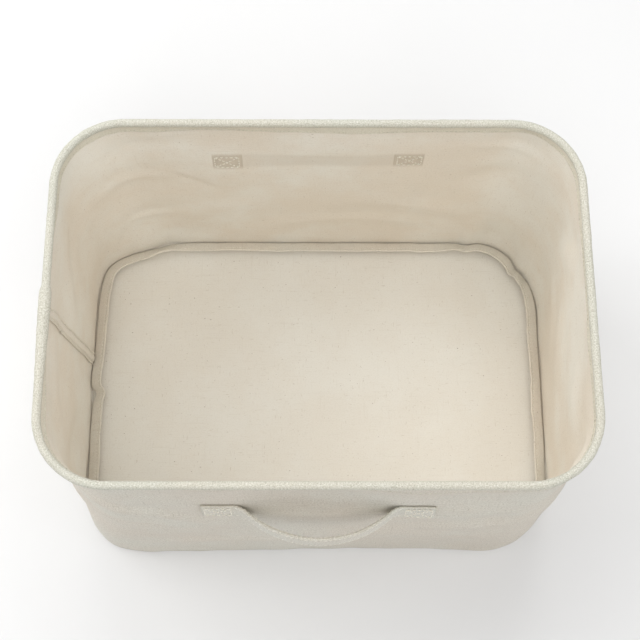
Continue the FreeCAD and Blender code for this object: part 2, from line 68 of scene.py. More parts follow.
CLOTH = 1.2 * MM
WIRE_R = (WIRE_HIGH.z - WIRE_LOW.z) / 2
RIM_Z = (WIRE_HIGH.z + WIRE_LOW.z) / 2
RIM_X = WIRE_HIGH.x - WIRE_R
RIM_Y = WIRE_HIGH.y - WIRE_R
RIM_CORNER = 47 * MM
BASE_X = WALL_HIGH.x - CLOTH / 2
BASE_Y = WALL_HIGH.y - CLOTH / 2
BASE_CORNER = 67 * MM - CLOTH / 2
WALL_TOP_OUT = 1.2 * MM                      # wall's middle surface, outside the wire's line
FOOT_TUCK = 3.2 * MM                         # height over which the wall's foot turns in
TUBE_R = HEM_HIGH.z - RIM_Z
BAND_DROP = RIM_Z - HEM_LOW.z
FLOOR_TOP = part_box("base_panel")[1].z
FLOOR_TAPE_HALF = 4.9 * MM
FLOOR_TAPE_ROW = 2.7 * MM                    # its row of thread, from the tape's middle
SIDE_TAPE_HALF = 5.0 * MM
SIDE_TAPE_ROW = 3.1 * MM                     # its two rows, from the tape's middle
SIDE_TAPE_LIFT = 0.85 * MM                   # its middle, off the wall
STRAP_Z = (ENDS_LOW.z + ENDS_HIGH.z) / 2
STRAP_HALF = 10 * MM
STRAP_THICK = 2.2 * MM
STRAP_END = ENDS_HIGH.x
STRAP_ROOT = STRAP_END - 22.5 * MM
STRAP_BOW = 21.0 * MM
ROOT_BEND = 12 * MM                          # radius where the strap leaves its sewn ends
STITCH_SPACING = 3.2 * MM
STITCH_LENGTH = 2.5 * MM
STITCH_SINK = 0.12 * MM
THREAD_R = 0.32 * MM
FINE_THREAD_R = 0.26 * MM                    # in the hem and the side seam
BOX_THREAD_R = 0.42 * MM
GROOVE_WIDTH = 0.9 * MM                      # of the hollow that a row of stitches draws in
HEM_JOIN = RIM_Z - BAND_DROP - 0.6 * MM      # the hem's cloth begins here, the wall's ends


# ---------------------------------------------------------------- shapes

def outline(s, half_x, half_y, radius):
    """Points and outward normals of a rounded rectangle.

    s runs anticlockwise from the middle of the left side: each of its nine unit steps is a
    straight stretch (even) or a corner (odd), and the left side is split between 0 and 8.
    """
    s = np.asarray(s, float)
    flat_x = half_x - radius + 0 * s
    flat_y = half_y - radius + 0 * s
    step = np.clip(np.floor(s), 0, 8)
    f = s - step
    corner_x = np.where(np.isin(step, (3, 5)), flat_x, -flat_x)
    corner_y = np.where(np.isin(step, (5, 7)), flat_y, -flat_y)
    turn = math.pi / 2 * (1 + (step + 1) / 2 + f)
    x = corner_x + radius * np.cos(turn)
    y = corner_y + radius * np.sin(turn)
    nx = np.cos(turn)
    ny = np.sin(turn)
    straight = {0: (-half_x, -flat_y * f, -1, 0), 8: (-half_x, flat_y * (1 - f), -1, 0),
                4: (half_x, flat_y * (2 * f - 1), 1, 0), 2: (flat_x * (2 * f - 1), -half_y, 0, -1),
                6: (flat_x * (1 - 2 * f), half_y, 0, 1)}
    for number, (px, py, ox, oy) in straight.items():
        here = step == number
        x = np.where(here, px, x)
        y = np.where(here, py, y)
        nx = np.where(here, ox, nx)
        ny = np.where(here, oy, ny)
    return x, y, nx, ny


def stations(step, half_x=RIM_X, half_y=RIM_Y, radius=RIM_CORNER):
    """Values of s about step metres apart, all the way round."""
    flat_x = 2 * (half_x - radius)
    flat_y = 2 * (half_y - radius)
    bend = radius * math.pi / 2
    lengths = (flat_y / 2, bend, flat_x, bend, flat_y, bend, flat_x, bend, flat_y / 2)
    parts = []
    for start, length in enumerate(lengths):
        count = max(2, round(length / step))
        parts.append(start + np.arange(count) / count)
    return np.concatenate(parts)


def s_at(side, offset, height=0.12):
    """The s of a place on one side: offset is its X on the front or back, its Y on the others."""
    half_x, half_y, radius = wall_halves(height)
    if side == "front":
        return 2 + (offset / (half_x - radius) + 1) / 2
    if side == "back":
        return 6 + (1 - offset / (half_x - radius)) / 2
    if side == "right":
        return 4 + (offset / (half_y - radius) + 1) / 2
    along = offset / (half_y - radius)
    return np.where(along < 0, -along, 9 - along)


def ripple(x, y, z, wavelength, seed, waves=9):
    """Smooth random relief in space, about -1 to 1, from a few sine waves."""
    random = np.random.default_rng(seed)
    total = 0.0
    for _ in range(waves):
        way = random.normal(size=3)
        way = way / np.linalg.norm(way) * 2 * math.pi / (wavelength * random.uniform(0.7, 1.5))
        total = total + np.sin(way[0] * x + way[1] * y + way[2] * z + random.uniform(0, 2 * math.pi))
    return total / math.sqrt(waves) / 1.3


def smooth(value, low, high):
    """0 below low, 1 above high, and a smooth step between."""
    t = np.clip((value - low) / (high - low), 0, 1)
    return t * t * (3 - 2 * t)


def hill(value, middle, width):
    """Rounded bump of height 1."""
    return np.exp(-((value - middle) / width) ** 2)


# ---------------------------------------------------------------- the wall's surface

def wall_halves(z):
    """Half sizes and corner radius of the wall's middle surface at a height."""
    t = np.clip(z / WALL_HIGH.z, 0, 1.02)
    half_x = BASE_X + (RIM_X + WALL_TOP_OUT - BASE_X) * t
    half_y = BASE_Y + (RIM_Y + WALL_TOP_OUT - BASE_Y) * t
    radius = BASE_CORNER + (RIM_CORNER + WALL_TOP_OUT - BASE_CORNER) * t
    return half_x, half_y, radius


# Soft creases: side, offset along it (m), height (m), slope (degrees), length and width (m),
# depth (mm).
# A side's offset past its straight stretch runs on round the corner.
CREASES = (
    ("back", -0.118, 0.205, 8, 0.030, 0.008, 1.5),
    ("back", -0.150, 0.148, 6, 0.030, 0.007, -1.5),
    ("back", -0.152, 0.072, 4, 0.018, 0.0045, -1.6),
    ("back", -0.098, 0.140, -38, 0.022, 0.005, 1.3),
    ("back", -0.068, 0.168, 0, 0.030, 0.024, -1.6),
    ("back", -0.085, 0.085, 24, 0.040, 0.010, -1.0),
    ("back", 0.152, 0.200, -8, 0.024, 0.005, -1.6),
    ("back", 0.126, 0.150, 30, 0.036, 0.010, 1.3),
    ("back", 0.090, 0.085, -22, 0.045, 0.012, -1.7),
    ("back", 0.020, 0.060, 4, 0.070, 0.010, -1.3),
    ("front", -0.120, 0.165, -22, 0.050, 0.0055, 2.7),
    ("front", -0.118, 0.122, -18, 0.045, 0.006, -2.6),
    ("front", -0.065, 0.070, 12, 0.055, 0.007, 2.3),
    ("front", 0.112, 0.168, 14, 0.055, 0.006, -3.8),
    ("front", 0.105, 0.125, 8, 0.050, 0.010, 3.2),
    ("front", 0.070, 0.080, -12, 0.055, 0.007, -2.3),
    ("front", 0.000, 0.105, 3, 0.075, 0.012, 2.2),
    ("left", -0.060, 0.150, 52, 0.045, 0.012, -2.4),
    ("left", 0.062, 0.120, 60, 0.045, 0.014, 2.2),
    ("left", -0.050, 0.070, -50, 0.040, 0.012, 1.9),
    ("right", 0.066, 0.150, -58, 0.050, 0.012, -2.4),
    ("right", 0.020, 0.080, 40, 0.050, 0.014, 1.8),
    ("right", -0.060, 0.140, 55, 0.048, 0.012, -2.2),
)
CREASE_CURVE = 6                             # 1/m, how much each crease bows


def perimeter_of(s):
    """Distance along the wall from s = 0, at mid height."""
    fine = np.linspace(0, 9, 3601)
    x, y, _, _ = outline(np.minimum(fine, 8.99999), *wall_halves(0.12))
    run = np.concatenate([[0], np.cumsum(np.hypot(np.diff(x), np.diff(y)))])
    return np.interp(s, fine, run), run[-1]


def crease_relief(s, z):
    """Sum of the soft creases, in metres."""
    along, whole = perimeter_of(s)
    total = np.zeros_like(along + z)
    for side, offset, height, slope, length, width, depth in CREASES:
        place, _ = perimeter_of(float(s_at(side, offset)))
        da = (along - place + whole / 2) % whole - whole / 2
        dz = z - height
        tilt = math.radians(slope if side in ("front", "right") else -slope)
        run = da * math.cos(tilt) + dz * math.sin(tilt)
        across = dz * math.cos(tilt) - da * math.sin(tilt)
        bent = across + CREASE_CURVE * run * run / 2
        fold = hill(bent, 0, width) - 0.55 * hill(bent, 1.7 * width, 1.3 * width)
        total = total + depth * MM * fold * hill(run, 0, length)
    return total


# Where the foot of the wall, and the floor with it, stands off the even outline: s, width, mm out.
FOOT_SHIFTS = (
    (7.62, 0.17, 5.6), (7.22, 0.15, -3.2),
    (8.85, 0.30, 1.8),
    (1.58, 0.20, 6.2), (2.20, 0.50, -2.3), (2.76, 0.42, -4.0), (3.34, 0.22, 1.0),
    (5.68, 0.22, 3.2), (5.93, 0.07, -2.8), (5.44, 0.05, -2.6),
)

# Hollows under the rim and swells at the corners: s, its width, height, its width, mm out.
CORNER_HOLLOWS = (
    (1.42, 0.50, 0.208, 0.026, -5.0), (1.42, 0.36, 0.152, 0.034, -6.5),
    (3.55, 0.40, 0.200, 0.020, -3.6), (3.52, 0.36, 0.154, 0.026, -4.6),
    (7.50, 0.50, 0.180, 0.035, -1.5), (5.50, 0.50, 0.140, 0.040, 1.0),
)


def foot_shift(s):
    """Outward shift of the wall's foot, in metres."""
    total = 0 * s
    for middle, width, depth in FOOT_SHIFTS:
        total = total + depth * MM * hill(s, middle, width)
    return total


def wall_relief(s, z, x, y):
    """How far the slack cloth stands out of the even taper, in metres."""
    long_side = np.where(np.isin(np.floor(s), (2, 6)), 1.0, 0.0)
    middle = long_side * (1 - smooth(np.abs(x), 0.085, 0.14))
    front = np.where(y < 0, 1.0, 0.5) * (1 - 0.7 * hill(np.abs(x), 0.0685, 0.024))
    free = smooth(z, 0.002, 0.03) * (1 - smooth(z, 0.226, 0.2365))
    hollow = -3.4 * MM * hill(z, 0.203, 0.022) * middle * front
    belly = 2.4 * MM * hill(z, 0.140, 0.036) * (0.4 + 0.6 * middle) * front
    foot = foot_shift(s) * (1 - smooth(z, 0.012, 0.10))
    corners = 0.0
    for place, width, height, tall, depth in CORNER_HOLLOWS:
        corners = corners + depth * MM * hill(s, place, width) * hill(z, height, tall)
    slack = 1.4 * MM * ripple(x, y, z * 0.9, 0.15, 11)
    slack = slack + 0.85 * MM * ripple(x, y, z * 1.3, 0.055, 23) * (1 - 0.45 * middle)
    crumple = 0.10 * MM * ripple(x, y, z, 0.020, 31, 14)
    puckers = 0.35 * MM * ripple(x, y, z * 0.2, 0.022, 47) * (1 - smooth(z, 0.004, 0.034))
    hem_pull = 0.16 * MM * ripple(x, y, z * 0.1, 0.014, 53) * smooth(z, 0.205, 0.226)
    slack = slack + corners + crease_relief(s, z)
    return (hollow + belly + slack) * free + foot + crumple + puckers + hem_pull


def wall_shift(s, z, x, y):
    """Everything that moves the wall off its even taper, with its tucks at the foot and the hem."""
    tuck = 2.6 * MM * (1 - np.sqrt(1 - np.clip(1 - z / FOOT_TUCK, 0, 1) ** 2))
    neck = 0.5 * MM * smooth(z, RIM_Z - TUBE_R - 2 * MM, RIM_Z)
    return wall_relief(s, z, x, y) - tuck - neck


def wall_surface(s, z):
    """Middle surface of the wall cloth."""
    s, z = np.broadcast_arrays(np.asarray(s, float), np.asarray(z, float))
    half_x, half_y, radius = wall_halves(z)
    x, y, nx, ny = outline(s, half_x, half_y, radius)
    out = wall_shift(s, z, x, y)
    return np.stack([x + nx * out, y + ny * out, z], axis=-1)


def wall_at(s, z, out=0.0):
    """Point on the wall, moved along its outward normal; out is measured from the middle surface."""
    small = 0.8 * MM
    s = np.asarray(s, float)
    here = wall_surface(s, z)
    turn = 0.004
    s_next = np.where(s + turn >= 9, s + turn - 9, s + turn)
    s_back = np.where(s - turn < 0, s - turn + 9, s - turn)
    along = wall_surface(s_next, z) - wall_surface(s_back, z)
    up = wall_surface(s, np.asarray(z) + small) - wall_surface(s, np.asarray(z) - small)
    normal = np.cross(along, up)
    normal = normal / np.linalg.norm(normal, axis=-1, keepdims=True)
    return here + normal * np.asarray(out)[..., None], normal


# ---------------------------------------------------------------- mesh makers

def new_object(name, points, faces, uvs=None, materials=(), face_material=None):
    """Smooth-shaded mesh object with one UV map named cloth, in metres along the cloth."""
    mesh = bpy.data.meshes.new(name)
    mesh.from_pydata(np.asarray(points).reshape(-1, 3).tolist(), [], faces)
    for material in materials:
        mesh.materials.append(material)
    if face_material is not None:
        mesh.polygons.foreach_set("material_index", face_material)
    mesh.polygons.foreach_set("use_smooth", [True] * len(mesh.polygons))
    if uvs is not None:
        layer = mesh.uv_layers.new(name="cloth")
        layer.data.foreach_set("uv", np.asarray(uvs, float).reshape(-1))
    mesh.update()
    obj = bpy.data.objects.new(name, mesh)
    bpy.context.scene.collection.objects.link(obj)
    return obj


def sweep(name, grid, closed, materials, strip_material=None):
    """Skin of a grid of points: rows follow the run, columns go round the closed section.

    An open run gets a cap at each end. strip_material gives a material index for each column.
    """
    rows, cols, _ = grid.shape
    run = np.linalg.norm(np.diff(grid, axis=0, append=grid[:1]), axis=2).mean(axis=1)
    girth = np.linalg.norm(np.diff(grid, axis=1, append=grid[:, :1]), axis=2).mean(axis=0)
    u = np.concatenate([[0], np.cumsum(run)])
    v = np.concatenate([[0], np.cumsum(girth)])
    faces = []
    uvs = []
    marks = []
    for i in range(rows if closed else rows - 1):
        k = (i + 1) % rows
        for j in range(cols):
            m = (j + 1) % cols
            faces.append((i * cols + j, k * cols + j, k * cols + m, i * cols + m))
            uvs.extend(((u[i], v[j]), (u[i + 1], v[j]), (u[i + 1], v[j + 1]), (u[i], v[j + 1])))
            marks.append(strip_material[j] if strip_material is not None else 0)
    if not closed:
        for row, order in ((0, 1), (rows - 1, -1)):
            faces.append([row * cols + j for j in range(cols)][::order])
            uvs.extend([(u[row], v[j]) for j in range(cols)][::order])
            marks.append(0)
    return new_object(name, grid, faces, uvs, materials, marks)


def thread_row(path, normals, radius):
    """Separate stitches along a path: points and faces of small bent capsules."""
    steps = np.linalg.norm(np.diff(path, axis=0), axis=1)
    run = np.concatenate([[0], np.cumsum(steps)])
    count = max(1, int(run[-1] / STITCH_SPACING))
    centres = (np.arange(count) + 0.5) * run[-1] / count

    def sample(values, at):
        return np.stack([np.interp(at, run, values[:, k]) for k in range(3)], axis=1)

    middle = sample(path, centres)
    ahead = sample(path, np.minimum(centres + 0.4 * STITCH_LENGTH, run[-1]))
    behind = sample(path, np.maximum(centres - 0.4 * STITCH_LENGTH, 0))
    tangent = ahead - behind
    tangent /= np.linalg.norm(tangent, axis=1, keepdims=True)
    normal = sample(normals, centres)
    normal -= tangent * (normal * tangent).sum(1, keepdims=True)
    normal /= np.linalg.norm(normal, axis=1, keepdims=True)
    side = np.cross(normal, tangent)
    ring_at = (-0.5, -0.36, -0.12, 0.12, 0.36, 0.5)
    ring_size = (0.45, 0.9, 1.0, 1.0, 0.9, 0.45)
    sides = 7
    template = []
    for at, size in zip(ring_at, ring_size):
        for k in range(sides):
            angle = 2 * math.pi * k / sides
            dip = -2.2 * radius * (2 * at) ** 4
            template.append((at * STITCH_LENGTH, radius * size * math.cos(angle),
                             radius * size * math.sin(angle) + dip + radius - STITCH_SINK))
    template = np.array(template)
    jitter = np.random.default_rng(count).normal(size=(count, 2)) * (0.05, 0.04)
    tangent = tangent + side * jitter[:, :1]
    points = (middle[:, None] + template[None, :, 0:1] * tangent[:, None]
              + template[None, :, 1:2] * side[:, None]
              + template[None, :, 2:3] * (1 + jitter[:, None, 1:]) * normal[:, None])
    faces = []
    for r in range(len(ring_at) - 1):
        for k in range(sides):
            m = (k + 1) % sides
            faces.append((r * sides + k, r * sides + m, (r + 1) * sides + m, (r + 1) * sides + k))
    faces.append(tuple(range(sides))[::-1])
    last = (len(ring_at) - 1) * sides
    faces.append(tuple(range(last, last + sides)))
    size = len(template)
    every = [tuple(v + size * i for v in face) for i in range(count) for face in faces]
    return points.reshape(-1, 3), every


def thread_object(name, rows, material, radius=THREAD_R):
    """One object of several rows of stitches, where each row is a path and its normals."""
    points = []
    faces = []
    start = 0
    for path, normals in rows:
        more, more_faces = thread_row(np.asarray(path), np.asarray(normals), radius)
        points.append(more)
        faces.extend(tuple(v + start for v in face) for face in more_faces)
        start += len(more)
    return new_object(name, np.concatenate(points), faces, None, (material,))


def close_ring(points):
    """Rows of points with the first row again at the end."""
    return np.concatenate([points, points[:1]])


def rounded_strip(half_width, half_thick, grooves=(), groove_depth=0.0, steps=20):
    """Closed section of a flat tape with round edges: (across, height) pairs, face side first.

    grooves are places across the tape where its face is drawn in by a row of stitches.
    """
    across = np.linspace(-1, 1, steps) * (half_width - half_thick)
    height = np.full(steps, half_thick)
    for place in grooves:
        height = height - groove_depth * hill(across, place, GROOVE_WIDTH)
    edge = [math.pi * k / 6 for k in range(1, 6)]
    right = [(across[-1] + half_thick * math.sin(a), half_thick * math.cos(a)) for a in edge]
    left = [(across[0] - half_thick * math.sin(a), -half_thick * math.cos(a)) for a in edge]
    face = list(zip(across, height))
    back = [(a, -half_thick) for a in across[::-1]]
    return np.array(face + right + back + left)


# ---------------------------------------------------------------- materials

class Nodes:
    """Small helper to write a material's node tree in a few readable lines."""

    def __init__(self, name):
        self.material = bpy.data.materials.new(name)
        self.material.use_nodes = True
        self.tree = self.material.node_tree
        self.shader = self.tree.nodes["Principled BSDF"]

    def add(self, kind, inputs=None, **settings):
        node = self.tree.nodes.new("ShaderNode" + kind)
        for key, value in settings.items():
            setattr(node, key, value)
        for key, value in (inputs or {}).items():
            if isinstance(value, bpy.types.NodeSocket):
                self.tree.links.new(value, node.inputs[key])
            else:
                node.inputs[key].default_value = value
        return node

    def math(self, operation, a, b=0.0, clamp=False):
        return self.add("Math", {0: a, 1: b}, operation=operation, use_clamp=clamp).outputs[0]

    def stretch(self, vector, scale):
        node = self.add("Mapping", {"Vector": vector, "Scale": scale})
        return node.outputs["Vector"]

    def noise(self, vector, scale=1.0, detail=2.0, rough=0.5):
        node = self.add("TexNoise", {"Vector": vector, "Scale": scale, "Detail": detail,
                                     "Roughness": rough})
        return node.outputs["Fac"]

    def ramp(self, value, low, high):
        node = self.add("MapRange", {"Value": value, "From Min": low, "From Max": high},
                        interpolation_type="SMOOTHSTEP")
        return node.outputs["Result"]

    def mix(self, amount, a, b):
        node = self.add("Mix", data_type="RGBA")
        for index, value in ((0, amount), (6, a), (7, b)):
            if isinstance(value, bpy.types.NodeSocket):
                self.tree.links.new(value, node.inputs[index])
            else:
                node.inputs[index].default_value = value
        return node.outputs[2]

    def link(self, output, name):
        self.tree.links.new(output, self.shader.inputs[name])


def srgb(r, g, b):
    """Linear colour from 8-bit screen values."""

    def one(c):
        c = c / 255
        return c / 12.92 if c <= 0.04045 else ((c + 0.055) / 1.055) ** 2.4

    return (one(r), one(g), one(b), 1.0)


def cloth_material(name, base, warm, dark, light, weave=1.0, slub=1.0, coarse=1.0, grain=0.3,
                   rough=0.9, sheen=0.15, strap_shadow=False, nook_shade=None):
    """Plain-woven linen blend: threads both ways, slubs, grain, flecks and an uneven tone, with optional
    painted shade in nooks and a painted strap shadow.
    """
    m = Nodes(name)
    uv = m.add("UVMap", uv_map="cloth").outputs["UV"]
    spot = m.add("TexCoord").outputs["Object"]
    pitch = 0.95 * coarse
    split = m.add("SeparateXYZ", {"Vector": uv})
    wander = m.noise(m.stretch(uv, (90, 90, 1)), detail=1)
    drift = m.math("MULTIPLY", m.math("SUBTRACT", wander, 0.5), 1.6)
    across = []
    for axis in ("X", "Y"):
        phase = m.math("MULTIPLY", split.outputs[axis], 2 * math.pi * 1000 / pitch)
        across.append(m.math("SINE", m.math("ADD", phase, drift)))
    crossing = m.math("MULTIPLY", across[0], across[1])
    over_warp = m.noise(m.stretch(uv, (1150, 95, 1)), detail=3, rough=0.6)
    over_weft = m.noise(m.stretch(uv, (80, 1150, 1)), detail=3, rough=0.6)
    long_weft = m.noise(m.stretch(uv, (26, 520, 1)), detail=2)
    long_warp = m.noise(m.stretch(uv, (520, 30, 1)), detail=2)
    bright = m.math("MAXIMUM", m.ramp(over_weft, 0.58, 0.74), m.ramp(over_warp, 0.60, 0.76))
    shade = m.math("MAXIMUM", m.ramp(long_weft, 0.60, 0.72), m.ramp(long_warp, 0.62, 0.74))
    dusk = m.math("MAXIMUM", m.ramp(over_weft, 0.42, 0.28), m.ramp(over_warp, 0.42, 0.28))
    tone = m.ramp(m.noise(spot, 9.0, 5.0, 0.62), 0.36, 0.64)
    fleck = m.ramp(m.noise(m.stretch(uv, (420, 700, 1)), detail=1), 0.745, 0.79)
    colour = m.mix(tone, base, warm)
    colour = m.mix(m.math("MULTIPLY", shade, 0.20 * slub), colour, dark)
    colour = m.mix(m.math("MULTIPLY", dusk, 0.30 * slub), colour, dark)
    colour = m.mix(m.math("MULTIPLY", bright, 0.55 * slub), colour, light)
    gaps = m.math("MULTIPLY", m.ramp(crossing, -1.0, 1.0), 0.16 * weave)
    colour = m.mix(gaps, colour, dark)
    knots = m.noise(m.stretch(uv, (760 / coarse, 980 / coarse, 1)), detail=2, rough=0.75)
    colour = m.mix(m.math("MULTIPLY", m.ramp(knots, 0.50, 0.30), 0.95 * grain), colour, dark)
    colour = m.mix(m.math("MULTIPLY", m.ramp(knots, 0.50, 0.68), 0.90 * grain), colour, light)
    colour = m.mix(m.math("MULTIPLY", fleck, 0.60), colour, srgb(132, 110, 84))
    wisps = m.math("MAXIMUM", m.ramp(m.noise(m.stretch(uv, (150, 900, 1)), detail=1), 0.70, 0.77),
                   m.ramp(m.noise(m.stretch(uv, (900, 160, 1)), detail=1), 0.70, 0.77))
    colour = m.mix(m.math("MULTIPLY", wisps, 0.34), colour, dark)
    # Painted shadow: the coated face is darkened in a band where a strap lies behind the wall, most at its
    # sewn ends.
    if strap_shadow:
        colour = m.mix(painted_strap_shadow(m, spot), colour, dark)
    # Painted shade in nooks: an ambient occlusion node darkens the colour in grooves, seams and along the
    # floor's edge.
    if nook_shade:
        reach, amount = nook_shade
        hidden = m.add("AmbientOcclusion", {"Distance": reach}, samples=6).outputs["AO"]
        colour = m.mix(m.math("MULTIPLY", m.ramp(hidden, 0.95, 0.25), amount), colour, dark)
    m.link(colour, "Base Color")
    m.shader.inputs["Roughness"].default_value = rough
    m.shader.inputs["Specular IOR Level"].default_value = 0.25
    m.shader.inputs["Sheen Weight"].default_value = sheen
    m.shader.inputs["Sheen Roughness"].default_value = 0.6
    threads = m.math("ADD", m.math("MULTIPLY", over_weft, 1.2), m.math("MULTIPLY", over_warp, 1.0))
    height = m.math("ADD", m.math("MULTIPLY", crossing, 0.35),
                    m.math("ADD", threads, m.math("MULTIPLY", knots, 2.0 * grain)))
    bump = m.add("Bump", {"Height": height, "Strength": 0.55 * weave, "Distance": 0.00035})
    m.link(bump.outputs["Normal"], "Normal")
    return m.material


def painted_strap_shadow(m, spot):
    """Painted shadow of a strap seen through the cloth: how much darker the cloth is painted in a band
    where a strap lies behind it, most at the sewn ends.
    """
    split = m.add("SeparateXYZ", {"Vector": spot})
    across = m.math("ABSOLUTE", split.outputs["X"])
    out = m.ramp(m.math("ABSOLUTE", split.outputs["Y"]), 0.110, 0.120)
    low = m.ramp(split.outputs["Z"], STRAP_Z - 13 * MM, STRAP_Z - 5 * MM)
    high = m.ramp(split.outputs["Z"], STRAP_Z + 14 * MM, STRAP_Z + 8 * MM)
    band = m.math("MULTIPLY", m.math("MULTIPLY", low, high), out)
    sewn = m.math("MULTIPLY", m.ramp(across, STRAP_ROOT - 1 * MM, STRAP_ROOT),
                  m.ramp(across, STRAP_END, STRAP_END - 1 * MM))
    free = m.ramp(across, STRAP_ROOT + 1 * MM, STRAP_ROOT - 1 * MM)
    amount = m.math("ADD", m.math("MULTIPLY", sewn, 0.62), m.math("MULTIPLY", free, 0.22))
    return m.math("MULTIPLY", band, amount)


def thread_material(name, low, high):
    """Twisted cotton-wrapped thread."""
    m = Nodes(name)
    spot = m.add("TexCoord").outputs["Object"]
    twist = m.noise(m.stretch(spot, (1800, 1800, 1800)), detail=1)
    colour = m.mix(m.ramp(twist, 0.35, 0.65), low, high)
    m.link(colour, "Base Color")
    m.shader.inputs["Roughness"].default_value = 0.7
    m.shader.inputs["Sheen Weight"].default_value = 0.3
    bump = m.add("Bump", {"Height": twist, "Strength": 0.5, "Distance": 0.0002})
    m.link(bump.outputs["Normal"], "Normal")
    return m.material


def steel_material(name, tint, scratch):
    """Drawn steel with fine marks along it."""
    m = Nodes(name)
    spot = m.add("TexCoord").outputs["Object"]
    marks = m.noise(m.stretch(spot, (scratch, scratch, 4000)), detail=3)
    colour = m.mix(m.ramp(marks, 0.3, 0.7), tint, srgb(196, 196, 198))
    m.link(colour, "Base Color")
    m.link(m.math("ADD", m.math("MULTIPLY", marks, 0.25), 0.22), "Roughness")
    m.shader.inputs["Metallic"].default_value = 1.0
    return m.material


# The last pair on several cloths paints shade into their grooves, seams and edges: how far the occlusion
# reaches, and how strongly it darkens.
OUTSIDE = cloth_material("linen_outside", srgb(219, 215, 203), srgb(218, 209, 195),
                         srgb(160, 153, 137), srgb(244, 242, 233), slub=1.05, grain=0.42,
                         nook_shade=(7 * MM, 0.30))
# The wall's and the floor's coated faces are one cloth in two copies; the floor's copy is painted lighter
# and less yellow, as painted light. The wall's copy also carries the painted strap shadow.
INSIDE = cloth_material("linen_coated_wall", srgb(241, 238, 229), srgb(235, 226, 212),
                        srgb(188, 175, 155), srgb(251, 249, 243), weave=0.45, slub=0.42,
                        grain=0.19, rough=0.72, sheen=0.05, strap_shadow=True, nook_shade=(3 * MM, 0.24))
FLOOR = cloth_material("linen_coated_floor_lit", srgb(245, 243, 236), srgb(242, 238, 229),
                       srgb(192, 180, 161), srgb(252, 251, 246), weave=0.45, slub=0.36,
                       grain=0.13, rough=0.72, sheen=0.05, nook_shade=(22 * MM, 0.36))
HEM = cloth_material("linen_hem", srgb(206, 205, 192), srgb(210, 206, 192), srgb(150, 144, 122),
                     srgb(244, 243, 236), weave=1.0, slub=0.9, coarse=0.85, grain=0.60)
# The hem band is the hem's cloth, painted lighter than the hem to offset the shade under the rim tube.
HEM_BAND_LIT = cloth_material("linen_hem_band_lit", srgb(226, 222, 206), srgb(226, 219, 202),
                          srgb(178, 168, 146), srgb(248, 246, 238), weave=0.8, slub=0.6,
                          coarse=0.85, grain=0.34)
TAPE = cloth_material("linen_tape", srgb(237, 232, 220), srgb(238, 230, 217), srgb(176, 163, 142),
                      srgb(249, 246, 237), weave=0.9, slub=0.6, grain=0.20, nook_shade=(2.5 * MM, 0.34))
STRAP = cloth_material("linen_strap", srgb(218, 216, 205), srgb(220, 214, 201),
                       srgb(158, 151, 133), srgb(249, 248, 241), weave=1.1, slub=0.9, grain=0.50,
                       nook_shade=(3 * MM, 0.40))
THREAD = thread_material("sewing_thread", srgb(220, 213, 196), srgb(250, 247, 237))
HEM_THREAD = thread_material("hem_thread", srgb(198, 192, 174), srgb(228, 223, 208))
STEEL = steel_material("drawn_steel_wire", srgb(150, 150, 153), 60)
SLEEVE = steel_material("crimped_sleeve", srgb(132, 132, 136), 400)


# ---------------------------------------------------------------- the bin's pieces

def wall_ring(name, levels, body):
    """A ring of wall cloth with a coated inner face, between the first and last levels."""
    grid_s, grid_z = np.meshgrid(stations(3.6 * MM), levels, indexing="ij")
    outer, _ = wall_at(grid_s, grid_z, CLOTH / 2)
    inner, _ = wall_at(grid_s, grid_z, -CLOTH / 2)
    outer[..., 2] = np.maximum(outer[..., 2], 0)
    inner[..., 2] = np.maximum(inner[..., 2], 0)
    grid = np.concatenate([outer, inner[:, ::-1]], axis=1)
    marks = [0] * (len(levels) - 1) + [1] * (len(levels) + 1)
    ring = sweep(name, grid, True, (OUTSIDE, INSIDE), marks)
    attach(ring, body)
    return ring


def make_wall():
    """The wall, one sheet sewn into a ring, and its top strip, which goes up into the hem."""
    levels = np.concatenate([np.linspace(0, FOOT_TUCK, 5)[:-1], np.linspace(FOOT_TUCK, HEM_JOIN, 62)])
    wall = wall_ring("wall_cloth", levels, "base")
    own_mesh(wall)
    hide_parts("wall_panel")
    top = RIM_Z - 2.6 * MM
    strip = wall_ring("rim_hem_outer_cloth", np.linspace(HEM_JOIN, top, 7), "rim")
    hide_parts("rim_hem")


